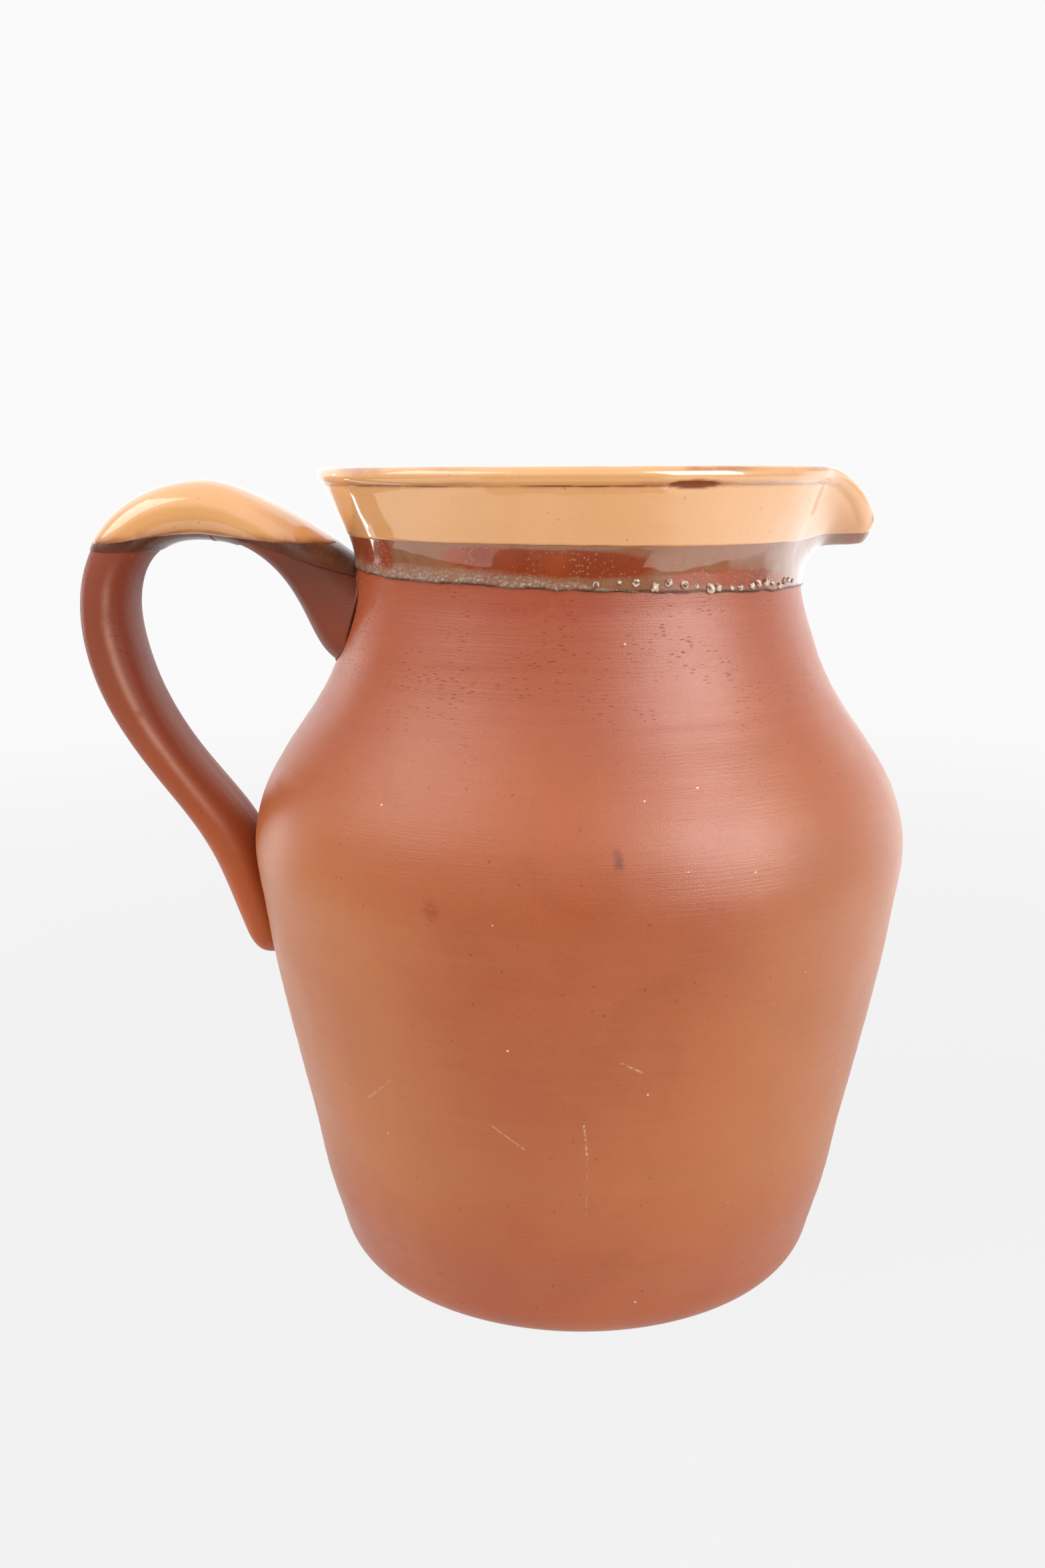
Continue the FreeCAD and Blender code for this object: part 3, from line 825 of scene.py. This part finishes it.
def make_collar_slip():
    """The cream slip: thin along the lip's line and its own edge, worn on the crest, with a bald spot."""
    angle = column_angles(540)
    start, end = slip_edge(angle), inner_slip_edge(angle)
    along = start + (end - start) * shares(150)[:, None]
    surface, normals = clay_surface(angle, along)
    edge = np.minimum(along - start, end - along)
    lift = (COAT + 0.03 * ripple(surface, 9.0, 31)) * rounded_edge(edge, 0.9) - 0.02
    ring = circle(LIP_RING, angle)
    lip_line = along - AT_LIP_LINE
    off_spout = 1.0 - 0.9 * ease(spout_pull(angle)[0] / 0.15)
    line = bell(lip_line, 0.30) * (0.55 + 0.75 * ease(0.5 + 0.9 * ripple(ring, 55.0, 32))) * off_spout
    crest = bell(along - AT_CREST + 0.9, 1.0) * ease(0.35 + 1.2 * ripple(ring, 24.0, 33))
    crest += 0.6 * bell(lip_line - 0.7, 0.7) * ease(0.2 + 1.2 * ripple(ring, 30.0, 34))
    bald = ((np.degrees(angle) - BALD_ANGLE) / BALD_HALF_ANGLE) ** 2 + ((lip_line - 0.35) / 1.35) ** 2
    bald = ease((1.0 - bald) / 0.35)
    lift -= 0.08 * np.clip(line, 0.0, 1.0) + 0.30 * bald
    thin = line + 0.8 * bell(along - start, 0.22)
    return layer_skin("collar_cream_slip", surface, normals, lift, 0.25, thin=thin, faded=crest, bald=bald)


def make_collar_glaze():
    """The glaze band, with froth along its lower edge, widest at the front's left."""
    angle = column_angles(1300, crowding=0.0)
    start, end = glaze_edge(angle), slip_edge(angle) + 1.2
    along = start + (end - start) * (np.linspace(0.0, 1.0, 56)[:, None] ** 1.25)
    surface, normals = clay_surface(angle, along)
    below = along - start
    front_left = ease((-np.cos(angle) + 0.35) / 0.7)
    foam_width = np.maximum(0.3 + 2.9 * front_left + edge_wave(angle, 41, 0.5, 26.0), 0.15)
    foam = ease(1.25 - below / foam_width)
    bubbles = bubble_field(surface, below < 6.0)
    lift = 0.30 * rounded_edge(below, 0.8) + foam * (0.10 + 0.20 * bubbles)
    lift = (lift + 0.02 * ripple(surface, 6.0, 42)) * ease((end - along) / 0.9) - 0.03
    haze = 1.0 - glaze_clearings(angle, below)
    rim = bell(below, 0.55)
    return layer_skin("collar_glaze", surface, normals, lift, 0.25, foam=foam, haze=haze, rim=rim)


def glaze_clearings(angle, below):
    """1 in the clear red pools of the glaze band, 0 where it is milky with bubbles and a painted
    reflection, at heights over its edge.
    """
    clear = np.zeros(below.shape)
    waver = edge_wave(angle, 43, 0.35, 12.0)
    for middle, half_angle, height, half_height in POOLS:
        across = np.degrees(np.angle(np.exp(1j * (angle - math.radians(middle))))) / half_angle
        up = (below - height - 0.5 * waver) / half_height
        clear = np.maximum(clear, ease((1.0 - np.abs(across) ** 3 - np.abs(up) ** 2.5) / 0.45))
    return clear


def bubble_field(surface, wanted, spacing=0.95, least_gap=0.3, seed=51):
    """0 to 1: round bumps crowded over the wanted points of a surface."""
    random = np.random.default_rng(seed)
    flat = surface[wanted]
    chosen = flat[random.permutation(len(flat))[: int(len(flat) / 5)]]
    kept = kdtree.KDTree(len(chosen))
    centres = []
    for point in chosen:
        latest = np.asarray(centres[-60:]).reshape(-1, 3)
        if np.any(np.linalg.norm(latest - point, axis=1) < least_gap):
            continue
        kept.insert(point, len(centres))
        centres.append(point)
    kept.balance()
    size = random.uniform(0.30, 0.62, len(centres)) * spacing
    values = []
    for point in flat:
        _, index, gap = kept.find(point)
        values.append(max(0.0, 1.0 - (gap / size[index]) ** 2))
    field = np.zeros(wanted.shape)
    field[wanted] = values
    return field


# --- The interior glaze and the beads along the glaze's edge
def make_interior_glaze():
    angle = column_angles(300)
    start = inner_slip_edge(angle) - 1.2
    along = start + (AT_INNER_FLOOR - start) * np.linspace(0.0, 1.0, 190)[:, None]
    surface, normals = vessel(angle, along), vessel_normals(angle, along)
    lift = 0.32 * rounded_edge(along - start, 1.2) - 0.02
    face = surface + normals * lift[..., None]
    back = (surface - normals * 0.2)[::-1]
    floor_back = floor_rings(angle, steps(0.6, FLOOR_RADIUS - 1.5, 2.0), -0.2)
    floor_face = floor_rings(angle, steps(FLOOR_RADIUS - 1.5, 0.6, 2.0), 0.30)
    return closed_skin("interior_glaze", np.concatenate([floor_back, back, face, floor_face]))


RUN_BEADS = 19
SPREAD_BEADS = 16
SMALL_BEADS = 5
FIRST_BEAD_SEED = 100


def bead_mesh(gather, centre, outwards, radius, seed):
    """One frozen drop: a lumpy bubble squashed against the wall."""
    made = bmesh.ops.create_icosphere(gather, subdivisions=3, radius=1.0)
    for vertex in made["verts"]:
        direction = np.array(vertex.co)
        lump = 1.0 + 0.16 * float(ripple(direction[None, :], 1.3, seed, waves=8)[0])
        flatness = 1.0 - 0.35 * abs(float(direction @ outwards))
        vertex.co = Vector((centre + direction * radius * lump * flatness) * MM)


def make_beads():
    """Drops along the glaze's lower edge: a crusty run at the front right, and a few elsewhere."""
    random = np.random.default_rng(61)
    run = np.radians(-86.0 + 62.0 * np.linspace(0.0, 1.0, RUN_BEADS) ** 0.85)
    spread = random.uniform(math.radians(-20.0), math.radians(150.0), SPREAD_BEADS)
    small = random.uniform(math.radians(-150.0), math.radians(-92.0), SMALL_BEADS)
    angle = np.concatenate([run, spread, small])
    count = len(angle)
    angle += random.normal(0.0, 0.006, count)
    along = (glaze_edge(angle) + random.uniform(0.9, 2.2, count))[None, :]
    points, normals = vessel(angle, along)[0], vessel_normals(angle, along)[0]
    sizes = random.uniform(0.55, 1.10, count)
    sizes[-SMALL_BEADS:] *= 0.5
    gather = bmesh.new()
    for number, (point, normal, size) in enumerate(zip(points, normals, sizes)):
        bead_mesh(gather, point + normal * size * 0.45, normal, size, FIRST_BEAD_SEED + number)
    mesh = bpy.data.meshes.new("glaze_edge_beads")
    gather.to_mesh(mesh)
    gather.free()
    return add_object("glaze_edge_beads", mesh)


# --- The handle, its slip and glaze, and the joining slip
def make_handle():
    turn, along = strap_grid(160, 420)
    points, _ = strap_surface(turn, along)
    _, ridge, groove = strap_fluting(turn, along)
    return closed_skin("handle_clay", points, ridge=ridge, groove=groove)


def slip_level(x):
    """The height of the handle slip's lower edge, which breaks higher over the corner of the arch."""
    return HANDLE_SLIP_EDGE - 0.5 + 3.0 * ease(1.0 - np.abs(x - ARCH_X) / 26.0)


def glaze_level(x):
    """The height of the handle glaze's lower edge: level on the outer branch and sloping at the root."""
    root_end = (HANDLE_SLIP_EDGE - ROOT_GLAZE_EDGE) / ROOT_GLAZE_TILT
    places = [ARCH_X - 30.0, ARCH_X, -NECK_RADIUS - root_end, -NECK_RADIUS]
    levels = [HANDLE_SLIP_EDGE - 2.2, HANDLE_SLIP_EDGE - 2.2, HANDLE_SLIP_EDGE, ROOT_GLAZE_EDGE]
    return np.interp(x, places, levels)


def trim_mesh(mesh, layer, sign):
    """Cut away the part of a mesh below (sign 1) or above (sign -1) the height stored at its points."""
    trim = bmesh.new()
    trim.from_mesh(mesh)
    level = trim.verts.layers.float[layer]
    for vertex in trim.verts:
        vertex.co.z -= vertex[level] * MM
    bmesh.ops.bisect_plane(
        trim,
        geom=trim.verts[:] + trim.edges[:] + trim.faces[:],
        dist=1e-7,
        plane_co=(0.0, 0.0, 0.0),
        plane_no=(0.0, 0.0, sign),
        clear_inner=True,
    )
    for vertex in trim.verts:
        vertex.co.z += vertex[level] * MM
    trim.to_mesh(mesh)
    trim.free()


def strap_layer(name, low_level, high_level, end, coat, feather):
    """A thin coat on the handle between two wavy levels, which are functions of X."""
    turn, along = strap_grid(160, 460, 0.0, end)
    points, normals = strap_surface(turn, along)
    ground = points * [1.0, 1.0, 0.0]
    wave = 0.30 * ripple(ground, 26.0, 71) + 0.10 * ripple(ground, 6.0, 72)
    low = low_level(points[..., 0]) + wave
    high = high_level(points[..., 0]) + wave
    over_low = points[..., 2] - low
    gap = np.minimum(over_low, high - points[..., 2])
    lift = coat * rounded_edge(gap, feather) - 0.04
    over_low = np.maximum(over_low, 0.0)
    attributes = {
        "low": low,
        "high": high,
        "thin": 0.9 * bell(over_low, 0.35),
        "faded": bell(over_low, 1.4),
        "rim": bell(over_low, 1.3),
    }
    face = points + normals * lift[..., None]
    piece = make_mesh(name, face, grid_faces(*face.shape[:2]), **attributes)
    trim_mesh(piece.data, "low", 1.0)
    trim_mesh(piece.data, "high", -1.0)
    thickness = piece.modifiers.new("thickness", "SOLIDIFY")
    thickness.thickness = 0.3 * MM
    thickness.offset = -1.0
    return piece


def handle_slip():
    return strap_layer("handle_cream_slip", slip_level, lambda x: HEIGHT + 0.0 * x, AT_SLIP_END, 0.42, 0.8)


def handle_glaze():
    return strap_layer("handle_glaze", glaze_level, lambda x: slip_level(x) + 0.8, AT_GLAZE_END, 0.16, 3.0)


def wall_gap(points):
    """How far points are outside the vessel's plain outer wall, measured level."""
    along = np.linspace(0.0, AT_LIP_LINE, 1500)
    outline = vessel(np.array([math.pi]), along[:, None])[:, 0]
    wall = np.interp(points[..., 2], outline[:, 2], -outline[:, 0])
    return np.hypot(points[..., 0], points[..., 1]) - wall


def joint_loop(turns, start, end):
    """Where the handle's skin meets the wall between two distances along the strap."""
    points, normals = strap_surface(*strap_grid(turns, 800, start, end))
    outside = wall_gap(points) > 0.0
    first = np.argmax(outside if outside[-1].mean() > 0.5 else ~outside, axis=0)
    column = np.arange(turns)
    return points[first, column], normals[first, column]


def make_lute(name, start, end, radius, seed):
    """The thin bead of joining slip squeezed out round one end of the handle."""
    loop, normals = joint_loop(240, start, end)
    ahead = unit(np.roll(loop, -1, axis=0) - np.roll(loop, 1, axis=0))
    side = unit(np.cross(ahead, normals))
    thickness = radius * (1.0 + 0.35 * ripple(loop, 5.0, seed) + 0.25 * ripple(loop, 17.0, seed + 1))
    rings = []
    for turn in np.linspace(0.0, FULL_TURN, 12, endpoint=False):
        rings.append(loop + (normals * math.cos(turn) + side * math.sin(turn)) * thickness[:, None])
    grid = np.stack(rings)
    return make_mesh(name, grid, grid_faces(*grid.shape[:2], joined_ends=True))


# --- Every piece on the root body, in place of its CAD node
def place(piece, node, material):
    piece.data.materials.append(material)
    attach(piece, "root")
    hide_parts(node)


collar_brown = brown_glaze(
    "collar_brown",
    deepest=(0.270, 0.042, 0.010),
    palest=(0.370, 0.068, 0.016),
    rim_colour=(0.050, 0.016, 0.009),
    fizz=0.6,
    coat=1.0,
    gloss=0.05,
)
handle_brown = brown_glaze(
    "handle_brown",
    deepest=(0.085, 0.029, 0.015),
    palest=(0.135, 0.043, 0.020),
    rim_colour=(0.140, 0.042, 0.022),
    fizz=0.15,
    coat=0.35,
    gloss=0.20,
)
lute = shaded_luting_clay()
place(make_body(), "body", body_clay())
place(make_handle(), "handle", handle_clay())
upper_lute = make_lute("upper_luting_slip", 0.0, AT_ARCH, 0.45, 81)
lower_lute = make_lute("lower_luting_slip", AT_ARCH, AT_STRAP_END, 0.40, 83)
place(upper_lute, "upper_luting_slip", lute)
place(lower_lute, "lower_luting_slip", lute)
place(make_collar_slip(), "collar_cream_slip", cream_glaze("collar_cream"))
place(make_collar_glaze(), "collar_glaze", collar_brown)
place(make_interior_glaze(), "interior_glaze", lining_glaze())
place(make_beads(), "glaze_edge_beads", bead_glaze())
place(handle_slip(), "handle_cream_slip", cream_glaze("handle_cream"))
place(handle_glaze(), "handle_glaze", handle_brown)

# --- Stage: a white sheet, its glow, a pale room, soft lights and the camera, in metres and degrees
WHITE_SEEN = 0.955
SHEET_SEEN = 0.915
SHEET_RADIUS = 1.1
SHEET_LIT_SHARE = 0.12

GLOW_FRONT = -0.44
GLOW_BACK = 1.6
GLOW_LEFT = -0.43
GLOW_RIGHT = 0.52
# The outline of the dark bay in the front of the glow, from left to right.
BAY_LEFT = [(-0.32, -0.36), (-0.175, -0.208), (-0.07, -0.245)]
BAY_RIGHT = [(0.07, -0.245), (0.168, -0.210), (0.27, GLOW_FRONT)]

# Windows of the room, as (azimuth from, to, softness), (elevation from, to, softness), amount. Azimuth
# is measured from the front, and the amount is the share of light taken away, or the light added.
DIMMED = {
    "left wall": ((-120.0, -42.0, 8.0), (12.0, 44.0, 8.0), 0.45),
    "right wall": ((84.0, 150.0, 8.0), (16.0, 70.0, 8.0), 0.40),
    "front": ((-42.0, 42.0, 9.0), (-34.0, 20.0, 13.0), 0.90),
    "ground": ((-133.0, 84.0, 3.0), (-91.0, -13.0, 2.0), 0.85),
    "low left": ((-115.0, -40.0, 8.0), (-24.0, 12.0, 6.0), 0.65),
    "low right": ((72.0, 112.0, 6.0), (-18.0, 16.0, 6.0), 0.50),
}
BRIGHTENED = {
    "back right": ((110.0, 165.0, 6.0), (-91.0, 14.0, 4.0), 0.40),
    "window at the left": ((-131.5, -128.0, 1.0), (-50.0, 8.0, 4.0), 6.0),
}

LIGHT_TARGET = (0.0, 0.0, 0.6 * HEIGHT * MM)
LIGHT_DISTANCE = 0.95
FILL_BEHIND = 0.05

LENS = 33.66
SENSOR = 36.0
CAMERA_DISTANCE = 0.375
CAMERA_HEIGHT = HEIGHT * MM + 0.00042
CAMERA_PITCH = -12.23
CAMERA_YAW = -2.16
CAMERA_ROLL = -0.25


def lay_on_ground(name, outline, material, hidden_from):
    """A flat piece of the stage, hidden from some kinds of ray."""
    laid = make_mesh(name, outline / MM, [list(range(len(outline)))])
    laid.data.materials.append(material)
    for ray in hidden_from:
        setattr(laid, "visible_" + ray, False)


def make_sheet():
    """The white sheet, seen by the camera only. It takes a soft shadow and fades into the white room."""
    shader = material_shader("sheet")
    paper = shader.blotches(3.0, 2.0, 0.2, 0.8, SHEET_SEEN - 0.006, SHEET_SEEN + 0.006)
    seen = shader.node("ShaderNodeEmission", {"Color": paper})
    lit = shader.node("ShaderNodeBsdfDiffuse", {"Color": (0.64, 0.64, 0.635)})
    paper = shader.join(SHEET_LIT_SHARE, seen, lit)
    fade = shader.span(shader.vector("LENGTH", {0: shader.place}, "Value"), 0.24, 0.95)
    behind = shader.node("ShaderNodeNewGeometry").outputs["Backfacing"]
    clear = shader.node("ShaderNodeBsdfTransparent")
    cover = shader.join(shader.math("MAXIMUM", fade, behind), paper, clear)
    outline = circle(SHEET_RADIUS, np.linspace(0.0, FULL_TURN, 96, endpoint=False))
    lay_on_ground("sheet", outline, shader.show(cover), ["diffuse", "glossy", "shadow"])


def make_glow():
    """What the pitcher sees of the sheet, and the camera doesn't: its glow, with a dark bay in front."""
    shader = material_shader("glow")
    x = shader.axis("X")
    mirrored = shader.span(shader.math("ABSOLUTE", x), 0.08, 0.30, 0.74, 1.02)
    mirrored = shader.math("ADD", mirrored, shader.span(x, 0.08, 0.30, 0.0, 0.55))
    diffuse = shader.node("ShaderNodeLightPath").outputs["Is Diffuse Ray"]
    even = shader.times(shader.math("SUBTRACT", 0.95, mirrored), diffuse)
    strength = shader.math("ADD", mirrored, even)
    light = shader.node("ShaderNodeEmission", {"Color": (1.0, 0.995, 0.99), "Strength": strength})
    outline = [(GLOW_LEFT, GLOW_FRONT)] + BAY_LEFT + BAY_RIGHT
    outline += [(GLOW_RIGHT, GLOW_FRONT), (GLOW_RIGHT, GLOW_BACK), (GLOW_LEFT, GLOW_BACK)]
    outline = np.array([(x, y, 0.0) for x, y in outline])
    lay_on_ground("glow", outline, shader.show(light), ["camera", "shadow"])


def make_room():
    """White to the camera and even to diffuse light. Reflections see its dimmed and brightened windows."""
    world = bpy.data.worlds.new("room")
    world.cycles.sampling_method = "NONE"
    bpy.context.scene.world = world
    shader = Shader(world, "Generated")
    azimuth = shader.math("ARCTAN2", shader.axis("X"), shader.times(shader.axis("Y"), -1.0))
    elevation = shader.math("ARCSINE", shader.axis("Z"))

    def within(value, low, high, soft):
        low, high, soft = math.radians(low), math.radians(high), math.radians(soft)
        rising = shader.span(value, low - soft, low + soft)
        return shader.times(rising, shader.span(value, high - soft, high + soft, 1.0, 0.0))

    def window(azimuths, elevations, amount):
        return shader.times(within(azimuth, *azimuths), within(elevation, *elevations), amount)

    light = shader.span(elevation, math.radians(8.0), math.radians(50.0), 1.30, 1.05)
    for place_and_amount in DIMMED.values():
        light = shader.times(light, shader.math("SUBTRACT", 1.0, window(*place_and_amount)))
    for place_and_amount in BRIGHTENED.values():
        light = shader.math("ADD", light, window(*place_and_amount))
    rays = shader.node("ShaderNodeLightPath").outputs
    even = shader.span(elevation, math.radians(-10.0), math.radians(60.0), 0.95, 1.18)
    by_ray = {0: rays["Is Diffuse Ray"], 2: light, 3: even}
    light = shader.node("ShaderNodeMix", by_ray, data_type="FLOAT").outputs[0]
    lighting = shader.node("ShaderNodeBackground", {"Color": (0.98, 0.99, 1.0), "Strength": light})
    seen = shader.node("ShaderNodeBackground", {"Color": (1.0, 1.0, 1.0), "Strength": WHITE_SEEN})
    shader.show(shader.join(rays["Is Camera Ray"], lighting, seen))


def soft_box(name, azimuth, elevation, width, height, fill, shine):
    """A soft light: fill watts for diffuse light, and shine watts for its image in the glaze."""
    azimuth, elevation = math.radians(azimuth), math.radians(elevation)
    level = math.cos(elevation)
    outwards = Vector((math.sin(azimuth) * level, -math.cos(azimuth) * level, math.sin(elevation)))
    for part, watts, behind in (("shine", shine, 0.0), ("fill", fill, FILL_BEHIND)):
        data = bpy.data.lights.new(name + "_" + part, "AREA")
        data.shape = "RECTANGLE"
        data.size, data.size_y = width, height
        data.energy = watts
        light = bpy.data.objects.new(name + "_" + part, data)
        light.location = Vector(LIGHT_TARGET) + outwards * (LIGHT_DISTANCE + behind)
        light.rotation_euler = outwards.to_track_quat("Z", "Y").to_euler()
        light.visible_diffuse = part == "fill"
        light.visible_glossy = part == "shine"
        bpy.context.scene.collection.objects.link(light)


def make_camera():
    """The view of the reference: close, level with the lip, with the spout on the right."""
    data = bpy.data.cameras.new("camera")
    data.sensor_width = SENSOR
    data.lens = LENS
    camera = bpy.data.objects.new("camera", data)
    turned = Matrix.Rotation(math.radians(-CAMERA_YAW), 4, "Z")
    pitched = Matrix.Rotation(math.radians(90.0 + CAMERA_PITCH), 4, "X")
    rolled = Matrix.Rotation(math.radians(CAMERA_ROLL), 4, "Z")
    moved = Matrix.Translation((0.0, -CAMERA_DISTANCE, CAMERA_HEIGHT))
    camera.matrix_world = moved @ turned @ pitched @ rolled
    bpy.context.scene.collection.objects.link(camera)
    bpy.context.scene.camera = camera


make_sheet()
make_glow()
make_room()
soft_box("left_box", azimuth=-69.0, elevation=42.0, width=0.74, height=0.50, fill=2.0, shine=3.5)
soft_box("right_box", azimuth=55.0, elevation=29.0, width=0.58, height=0.76, fill=2.2, shine=11.0)
make_camera()
bpy.context.scene.view_settings.view_transform = "Standard"
